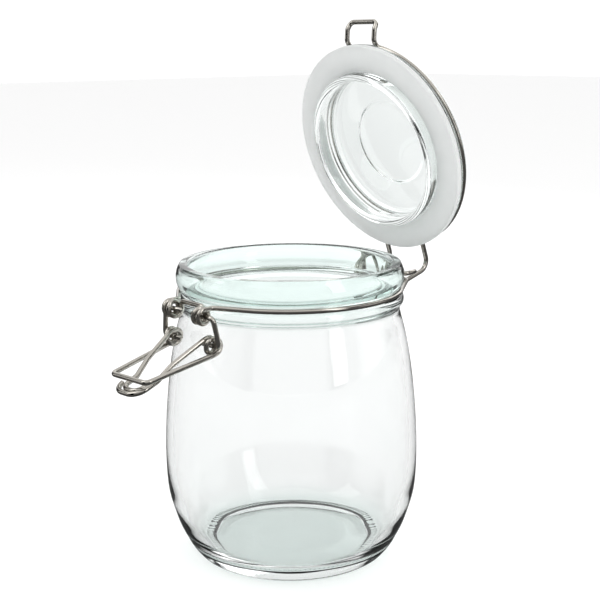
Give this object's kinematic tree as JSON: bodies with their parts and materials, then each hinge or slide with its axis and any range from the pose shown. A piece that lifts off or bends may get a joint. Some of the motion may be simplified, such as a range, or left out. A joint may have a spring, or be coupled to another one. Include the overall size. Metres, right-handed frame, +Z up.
{
  "type": "wire-bail storage jar",
  "caption": "Round barrel-shaped glass storage jar with a hinged domed glass lid, sealing ring and a hooked wire clamp that pulls the lid down.",
  "frame": {"origin": "centre of the jar's underside, on the jar's axis", "axes": "+Z up along the jar's axis, -Y towards the clamp, +Y towards the lid hinge, X along the hinge"},
  "size_m": [0.1082, 0.1597, 0.2254],
  "materials": {
    "glass": "polished",
    "silicone": "satin",
    "wire": "bright drawn"
  },
  "bodies": {
    "jar": {"glass_jar": "glass", "neck_band": "wire"},
    "lid": {"lid_glass": "glass", "lid_gasket": "silicone", "lid_wire": "wire"},
    "links": {"link_left": "wire", "link_right": "wire"},
    "clamp": {"clamp_wire": "wire"}
  },
  "joints": [
    {"name": "lid_hinge", "type": "hinge", "parent": "jar", "child": "lid", "pos_m": [0, 0.054, 0.1144], "axis": [-1, 0, 0], "range_deg": [-73.2, 100]},
    {"name": "link_hinge", "type": "hinge", "parent": "jar", "child": "links", "pos_m": [0, -0.0536, 0.1123], "axis": [-1, 0, 0], "range_deg": [0, 75]},
    {"name": "clamp_hinge", "type": "hinge", "parent": "links", "child": "clamp", "pos_m": [0.0012, -0.0524, 0.1006], "axis": [0.9962, 0.0872, 0], "range_deg": [-40, 60]}
  ]
}
